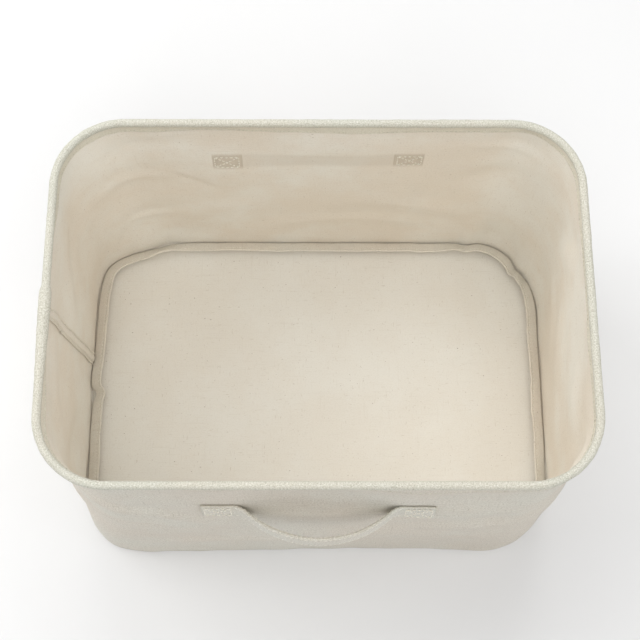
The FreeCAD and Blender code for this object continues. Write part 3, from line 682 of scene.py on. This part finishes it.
def make_base():
    """The cloth floor: flat, with a faint swell and small puckers along its seam."""
    s = stations(6 * MM)
    inset_steps = np.concatenate([[0], np.cumsum(np.linspace(1.5, 6.5, 32)) * MM])
    reach = BASE_Y - CLOTH - 2.2 * MM
    inset_steps = inset_steps / inset_steps[-1] * reach
    rings = []
    for inset in inset_steps:
        half_x = BASE_X - CLOTH - inset
        half_y = BASE_Y - CLOTH - inset
        radius = max(BASE_CORNER - CLOTH - inset, 1.5 * MM * (1 - inset / reach) + 0.4 * MM)
        x, y, nx, ny = outline(s, half_x, half_y, radius)
        shift = foot_shift(s) * (1 - smooth(inset, 0.0, 0.07))
        x = x + nx * shift
        y = y + ny * shift
        lift = 0.5 * MM * (1 + ripple(x, y, 0 * x, 0.09, 71)) * smooth(np.full_like(x, inset), 0.006, 0.03)
        pucker = 0.25 * MM * ripple(x, y, 0 * x, 0.018, 73) * hill(inset, 0.012, 0.009)
        rings.append(np.stack([x, y, FLOOR_TOP + lift + pucker], axis=1))
    top = np.array(rings)
    under = top.copy()
    under[..., 2] = 0.0
    count = len(s)
    layers = np.concatenate([top, under[::-1]])
    faces = []
    for i in range(len(layers) - 1):
        for j in range(count):
            k = (j + 1) % count
            faces.append((i * count + j, i * count + k, (i + 1) * count + k, (i + 1) * count + j))
    for j in range(count):
        k = (j + 1) % count
        last = (len(layers) - 1) * count
        faces.append((last + j, last + k, k, j))
    inner_ring = (len(top) - 1) * count
    faces = [f for f in faces if not (f[0] // count == len(top) - 1 and f[3] // count == len(top))]
    faces.append(tuple(inner_ring + j for j in range(count)))
    faces.append(tuple(inner_ring + count + j for j in range(count))[::-1])
    flat = layers.reshape(-1, 3)
    uvs = [flat[v, :2] for face in faces for v in face]
    base = new_object("base_cloth", flat, faces, uvs, (FLOOR,))
    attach(base, "base")
    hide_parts("base_panel")


# Places where the tape over the floor seam buckles: side, offset (m), push in, width (m), lift.
BUCKLES = (
    ("back", -0.128, 0.6, 0.012, 2.5), ("back", -0.150, 1.4, 0.008, 3.5),
    ("back", 0.124, 1.0, 0.006, 2.6), ("back", 0.150, -0.4, 0.008, 1.0),
    ("right", 0.118, 1.4, 0.005, 2.2), ("right", 0.100, -0.5, 0.008, 0.8),
    ("left", -0.004, 3.0, 0.006, 1.5), ("left", 0.090, 0.5, 0.012, -1.0),
    ("front", -0.110, 1.5, 0.010, 1.6), ("front", 0.112, 1.4, 0.010, 1.8),
    ("right", -0.070, 0.9, 0.010, 1.4),
)


def tape_shift(s, x, y):
    """Push towards the middle of the floor, and lift of the free edge, along the floor tape."""
    along, whole = perimeter_of(s)
    push = 0.5 * MM * (1 + ripple(x, y, 0 * x, 0.045, 83))
    lift = 0.8 * MM * ripple(x, y, 0 * x, 0.038, 89) + 0.25 * MM * ripple(x, y, 0 * x, 0.011, 97)
    for side, offset, depth, width, rise in BUCKLES:
        place, _ = perimeter_of(float(s_at(side, offset, 0.0)))
        gap = (along - place + whole / 2) % whole - whole / 2
        push = push + depth * MM * hill(gap, 0, width)
        lift = lift + rise * MM * hill(gap, 0.3 * width, width)
    return push, lift


def floor_tape_frame(s):
    """Root, direction across and face normal of the floor tape at each station."""
    half_x = BASE_X - CLOTH / 2 - 0.7 * MM
    half_y = BASE_Y - CLOTH / 2 - 0.7 * MM
    x, y, nx, ny = outline(s, half_x, half_y, BASE_CORNER - CLOTH / 2 - 0.7 * MM)
    push, lift = tape_shift(s, x, y)
    push = push - foot_shift(s)
    root = np.stack([x - nx * push, y - ny * push, np.full_like(x, FLOOR_TOP + 1.3 * MM)], axis=1)
    rise = 4.2 * MM + lift
    reach = np.full_like(x, 8.8 * MM)
    across = np.stack([-nx * reach, -ny * reach, rise], axis=1)
    across /= np.linalg.norm(across, axis=1, keepdims=True)
    out = np.stack([nx, ny, 0 * nx], axis=1)
    face = np.cross(np.cross(across, out), across)
    face /= np.linalg.norm(face, axis=1, keepdims=True)
    return root, across, face


def make_floor_tape():
    """Tape folded over the floor seam, leaning in over the floor, with its row of thread."""
    s = stations(2.6 * MM, BASE_X, BASE_Y, BASE_CORNER)
    root, across, face = floor_tape_frame(s)
    section = rounded_strip(FLOOR_TAPE_HALF, 1.0 * MM, (FLOOR_TAPE_ROW,), groove_depth=0.35 * MM)
    wave = 0.18 * MM * ripple(root[:, 0], root[:, 1], 0 * root[:, 0], 0.009, 101)
    grid = (root[:, None] + across[:, None] * (section[None, :, :1] + FLOOR_TAPE_HALF)
            + face[:, None] * (section[None, :, 1:] + wave[:, None, None]))
    tape = sweep("base_seam_tape", grid, True, (TAPE,))
    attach(tape, "base")
    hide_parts("base_seam_binding")
    row = root + across * (FLOOR_TAPE_HALF + FLOOR_TAPE_ROW) + face * (0.72 * MM + wave[:, None])
    thread = thread_object("base_tape_stitches", [(close_ring(row), close_ring(face))], THREAD)
    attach(thread, "base")
    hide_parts("base_binding_stitching")


def make_side_seam():
    """Tape over the leaning upright seam of the left wall, with two rows of thread."""
    low, high = 6.0 * MM, RIM_Z - BAND_DROP + 1.5 * MM
    z = np.linspace(low, high, 90)
    t = (z - SEAM_LOW.z) / (SEAM_HIGH.z - SEAM_LOW.z)
    foot_y = SEAM_HIGH.y - SIDE_TAPE_HALF
    head_y = SEAM_LOW.y + SIDE_TAPE_HALF
    centre = foot_y + (head_y - foot_y) * t + 0.5 * MM * np.sin(t * 9 + 1.0)
    section = rounded_strip(SIDE_TAPE_HALF, 0.95 * MM, (-SIDE_TAPE_ROW, SIDE_TAPE_ROW),
                            groove_depth=1.25 * MM, steps=34)
    thick = 1 + 0.10 * np.sin(t * 61) * np.sin(t * 23 + 1)
    rows = []
    for across, height in section:
        place = centre + across
        out = -(CLOTH / 2 + SIDE_TAPE_LIFT + height * thick)
        s = s_at("left", place, z)
        point, _ = wall_at(s, z, out)
        rows.append(point)
    tape = sweep("side_seam_tape", np.stack(rows, axis=1)[:, ::-1], False, (TAPE,))
    threads = []
    for offset in (-SIDE_TAPE_ROW, SIDE_TAPE_ROW):
        s = s_at("left", centre + offset, z)
        path, normal = wall_at(s, z, -(CLOTH / 2 + SIDE_TAPE_LIFT - 0.2 * MM * thick))
        threads.append((path, -normal))
    thread = thread_object("side_seam_stitches", threads, THREAD, FINE_THREAD_R)
    for piece, node, slot in ((tape, "side_seam_binding", "binding_tape"),
                              (thread, "side_seam_stitching", "sewing_thread")):
        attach(piece, "base")
        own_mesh(piece)
        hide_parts(node)


def hem_frame(s):
    """Wire line, inward direction, and how much thicker the hem is at each station."""
    x, y, nx, ny = outline(s, RIM_X, RIM_Y, RIM_CORNER)
    centre = np.stack([x, y, np.full_like(x, RIM_Z)], axis=1)
    inward = np.stack([-nx, -ny, 0 * nx], axis=1)
    left = np.where(x < -RIM_X * 0.98, 1.0, 0.0)
    lap = left * smooth(-y, -0.0055, -0.0035) * (1 - smooth(-y, 0.010, 0.075))
    swell = 0.10 * MM * ripple(x, y, 0 * x, 0.016, 107) + 0.09 * MM * ripple(x, y, 0 * x, 0.006, 109)
    return centre, inward, swell + 1.25 * MM * lap


def hem_follow(s, drop):
    """How far in the hem band lies, a distance below the wire, so that it follows the wall."""
    z = RIM_Z - drop
    half_x, half_y, radius = wall_halves(z)
    x, y, _, _ = outline(s, half_x, half_y, radius)
    return -wall_shift(s, z, x, y) * smooth(drop, 2.5 * MM, 7 * MM)


def make_hem():
    """The hem: cloth rolled over the wire and sewn down inside, with its thread on both faces."""
    s = stations(2.2 * MM)
    centre, inward, swell = hem_frame(s)
    up = np.array((0.0, 0.0, 1.0))
    tube = [math.radians(a) for a in np.linspace(-78, 222, 27)]
    sections = []
    for place, size in zip(centre, swell):
        r = TUBE_R - 0.12 * MM + size
        band = ripple(place[0], place[1], 0.0, 0.010, 113) * 0.16 * MM
        low = -BAND_DROP + 0.35 * MM * ripple(place[0], place[1], 0.0, 0.03, 127)
        points = [(-r * math.cos(a), r * math.sin(a)) for a in tube]
        face = 1.0 * MM + 0.5 * size
        points += [(face + 0.45 * MM, -3.4 * MM), (face + 0.1 * MM, -5.0 * MM), (face, -7.5 * MM),
                   (face - 0.05 * MM + band, -9.4 * MM), (face - 0.22 * MM + band, low + 2.2 * MM),
                   (face + 0.05 * MM + band, low + 0.9 * MM), (face - 0.2 * MM, low + 0.25 * MM),
                   (0.35 * MM, low), (-0.05 * MM, low + 0.3 * MM), (-0.2 * MM, low + 1.5 * MM),
                   (-0.25 * MM, -7.5 * MM), (-0.25 * MM, -4.0 * MM)]
        sections.append(points)
    section = np.array(sections)
    for column in range(len(tube), section.shape[1]):
        drop = -float(section[:, column, 1].mean())
        section[:, column, 0] += hem_follow(s, drop)
    grid = (centre[:, None] + inward[:, None] * section[..., :1] + up * section[..., 1:])
    band_columns = section.shape[1] - len(tube)
    # Faces of the band inside get the band's copy, painted lighter against the shade under the wire.
    hem = sweep("rim_hem_cloth", grid[:, ::-1], True, (HEM, HEM_BAND_LIT),
                [1] * band_columns + [0] * len(tube))
    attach(hem, "rim")
    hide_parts("rim_hem")
    row_drop = BAND_DROP - 2.2 * MM
    path = centre + inward * (0.86 * MM + hem_follow(s, row_drop))[:, None] - up * row_drop
    outer, normal = wall_at(s, RIM_Z - row_drop, CLOTH / 2)
    rows = [(close_ring(path), close_ring(inward)), (close_ring(outer), close_ring(normal))]
    thread = thread_object("rim_hem_stitches", rows, HEM_THREAD, FINE_THREAD_R)
    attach(thread, "rim")
    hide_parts("rim_hem_stitching")


def strap_line():
    """Middle line of a strap: X along the wall, distance out of it, and the line's direction."""
    crown = (STRAP_ROOT ** 2 + STRAP_BOW ** 2) / (2 * STRAP_BOW) - ROOT_BEND
    turn = math.asin(STRAP_ROOT / (ROOT_BEND + crown))
    flat = [(-STRAP_END + (STRAP_END - STRAP_ROOT) * k / 12, 0.0) for k in range(12)]
    bend = [(-STRAP_ROOT + ROOT_BEND * math.sin(a), ROOT_BEND * (1 - math.cos(a)))
            for a in np.linspace(0, turn, 9)[:-1]]
    arch = [(crown * math.sin(a), STRAP_BOW - crown * (1 - math.cos(a)))
            for a in np.linspace(-turn, 0, 26)]
    half = flat + bend + arch
    line = np.array(half + [(-x, d) for x, d in half[-2::-1]])
    way = np.gradient(line, axis=0)
    way /= np.linalg.norm(way, axis=1, keepdims=True)
    return line, way


def strap_frames(side):
    """Middle points of a strap in place, with its outward direction and its upright direction."""
    line, way = strap_line()
    sign = -1 if side == "front" else 1
    rest_x = np.clip(line[:, 0], -STRAP_END, STRAP_END)
    on_wall = smooth(np.abs(line[:, 0]), STRAP_ROOT - 6 * MM, STRAP_ROOT)
    held_x = np.where(line[:, 0] < 0, np.minimum(rest_x, -STRAP_ROOT), np.maximum(rest_x, STRAP_ROOT))
    tilts = []
    for dz in (-STRAP_HALF, STRAP_HALF):
        z = STRAP_Z + dz
        skin, _ = wall_at(s_at(side, held_x, z), z, CLOTH / 2)
        tilts.append(skin[:, 1] * sign)
    fade = smooth(line[:, 0], -STRAP_ROOT, STRAP_ROOT)
    ends = [np.where(np.abs(line[:, 0]) < STRAP_ROOT,
                     t[np.argmin(np.abs(line[:, 0] + STRAP_ROOT))] * (1 - fade)
                     + t[np.argmin(np.abs(line[:, 0] - STRAP_ROOT))] * fade, t) for t in tilts]
    skin = (ends[0] + ends[1]) / 2
    lean = (ends[0] - ends[1]) / (2 * STRAP_HALF) * (0.35 + 0.65 * on_wall)
    droop = 0.8 * MM * (line[:, 1] / STRAP_BOW) ** 1.5
    droop = droop + 0.8 * MM * np.sin(line[:, 0] * 31) * (line[:, 1] / STRAP_BOW)
    y = sign * (skin + STRAP_THICK / 2 + 0.1 * MM + line[:, 1])
    middle = np.stack([line[:, 0], y, STRAP_Z - droop], axis=1)
    out = np.stack([-way[:, 1], sign * way[:, 0], 0 * y], axis=1)
    upright = np.stack([0 * y, -sign * lean, np.ones_like(y)], axis=1)
    upright /= np.linalg.norm(upright, axis=1, keepdims=True)
    out = out - upright * (out * upright).sum(1, keepdims=True)
    out /= np.linalg.norm(out, axis=1, keepdims=True)
    return middle, out, upright, line


def swing_blend(piece):
    """Bakes the piece's world transform into its mesh."""
    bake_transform(piece)


def make_strap(side):
    """One handle: a folded and edge-stitched strap, boxed down at both ends."""
    middle, out, upright, line = strap_frames(side)
    row_at = STRAP_HALF - 2.0 * MM
    section = rounded_strip(STRAP_HALF, STRAP_THICK / 2, (-row_at, row_at),
                            groove_depth=0.55 * MM, steps=30)
    grid = middle[:, None] + upright[:, None] * section[None, :, :1] + out[:, None] * section[None, :, 1:]
    order = -1 if side == "front" else 1
    strap = sweep(f"{side}_strap", grid[:, ::order], False, (STRAP,))
    swing_blend(strap)
    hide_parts(f"{side}_handle_ends", f"{side}_handle_loop")
    free = np.abs(line[:, 0]) < STRAP_ROOT + 1 * MM
    rows = []
    for face in (1, -1):
        for offset in (-row_at, row_at):
            lift = STRAP_THICK / 2 - (0.5 * MM if face > 0 else 0.0)
            path = middle + upright * offset + out * face * lift
            rows.append((path[free], out[free] * face))
    edge = thread_object(f"{side}_strap_edge_stitches", rows, THREAD)
    swing_blend(edge)
    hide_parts(f"{side}_handle_edge_stitching")
    for hand, sign in (("left", -1), ("right", 1)):
        make_box_stitches(side, hand, sign * (STRAP_ROOT + STRAP_END) / 2, middle, out, upright)


def make_box_stitches(side, hand, centre_x, middle, out, upright):
    """Box and cross of thread, on the strap's face and on the inner face of the wall."""
    half_x, half_z = 9.0 * MM, 7.2 * MM
    corners = [(-half_x, -half_z), (half_x, -half_z), (half_x, half_z), (-half_x, half_z)]
    lines = [(corners[k], corners[(k + 1) % 4]) for k in range(4)]
    lines += [(corners[0], corners[2]), (corners[1], corners[3])]
    rows = []
    for a, b in lines:
        t = np.linspace(0, 1, 8)[:, None]
        spots = np.array(a) * (1 - t) + np.array(b) * t
        x = centre_x + spots[:, 0]
        order = np.argsort(middle[:, 0])

        def along(values):
            return np.stack([np.interp(x, middle[order, 0], values[order, k]) for k in range(3)], axis=1)

        face = along(out)
        outside = along(middle) + along(upright) * spots[:, 1:] + face * (STRAP_THICK / 2)
        rows.append((outside, face))
        z = STRAP_Z + spots[:, 1]
        inside, normal = wall_at(s_at(side, x, z), z, -CLOTH / 2)
        rows.append((inside, -normal))
    name = f"{side}_{hand}_box_stitches"
    thread = thread_object(name, rows, THREAD, BOX_THREAD_R)
    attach(thread, f"{side}_handle_mount")
    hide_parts(f"{side}_handle_{hand}_stitches")


def paint_cad_nodes():
    """The wire and its sleeve keep their CAD shapes, and get their own steel."""
    for name, material in (("rim_wire", STEEL), ("rim_wire_sleeve", SLEEVE)):
        mesh = bpy.data.objects[name].data
        mesh.materials.clear()
        mesh.materials.append(material)


# ---------------------------------------------------------------- floor, light and camera

def make_floor():
    """Large pale floor."""
    m = Nodes("studio_floor")
    spot = m.add("TexCoord").outputs["Object"]
    tone = m.noise(spot, 2.0, 2.0)
    m.link(m.mix(tone, (0.78, 0.78, 0.78, 1), (0.81, 0.81, 0.81, 1)), "Base Color")
    m.shader.inputs["Roughness"].default_value = 0.9
    size = 25.0
    corners = [(-size, -size, 0), (size, -size, 0), (size, size, 0), (-size, size, 0)]
    floor = new_object("floor", corners, [(0, 1, 2, 3)], None, (m.material,))
    floor.location.z = -0.15 * MM


def area_light(name, place, target, size, power):
    """Soft square light aimed at a point."""
    data = bpy.data.lights.new(name, "AREA")
    data.shape = "SQUARE"
    data.size = size
    data.energy = power
    light = bpy.data.objects.new(name, data)
    light.location = place
    light.rotation_euler = (Vector(target) - Vector(place)).to_track_quat("-Z", "Y").to_euler()
    bpy.context.scene.collection.objects.link(light)


def make_lights():
    """Soft studio light: broad sheets above and round the bin, in an even pale surround."""
    middle = (0, 0, 0.1)
    area_light("above_left", (-1.15, 0.5, 1.55), middle, 1.1, 12.6)
    area_light("behind", (0.0, 1.6, 1.5), middle, 1.4, 8.3)
    area_light("left", (-1.9, 0.0, 0.8), middle, 1.2, 8.5)
    area_light("right", (1.8, -0.3, 1.2), middle, 1.4, 9.8)
    area_light("front", (0.0, -1.9, 1.2), middle, 1.4, 5.8)
    area_light("above_front", (0.1, -0.9, 1.8), middle, 1.2, 13.0)
    area_light("above_behind", (0.0, 0.9, 1.7), middle, 1.2, 9.3)
    world = bpy.data.worlds.new("studio")
    world.use_nodes = True
    world.node_tree.nodes["Background"].inputs["Color"].default_value = (1.0, 1.0, 1.0, 1)
    world.node_tree.nodes["Background"].inputs["Strength"].default_value = 0.252
    bpy.context.scene.world = world
    bpy.context.scene.view_settings.view_transform = "Standard"


def make_camera():
    """Camera above and in front of the bin, looking steeply down into it."""
    down, yaw, roll = (math.radians(a) for a in (71.11, 1.151, 1.164))
    aim = Vector((0.84 * MM, -17.2 * MM, RIM_Z))
    distance = 0.8251
    forward = Vector((math.sin(yaw) * math.cos(down), math.cos(yaw) * math.cos(down), -math.sin(down)))
    right = Vector((math.cos(yaw), -math.sin(yaw), 0))
    up = right.cross(forward)
    turned_right = right * math.cos(roll) + up * math.sin(roll)
    turned_up = up * math.cos(roll) - right * math.sin(roll)
    data = bpy.data.cameras.new("camera")
    data.sensor_width = 36
    data.lens = 70.15
    camera = bpy.data.objects.new("camera", data)
    basis = Matrix((turned_right, turned_up, -forward)).transposed().to_4x4()
    camera.matrix_world = Matrix.Translation(aim - forward * distance) @ basis
    bpy.context.scene.collection.objects.link(camera)
    bpy.context.scene.camera = camera


make_camera()
make_lights()
make_floor()
make_base()
make_wall()
make_floor_tape()
make_side_seam()
make_hem()
for side in ("front", "back"):
    make_strap(side)
paint_cad_nodes()
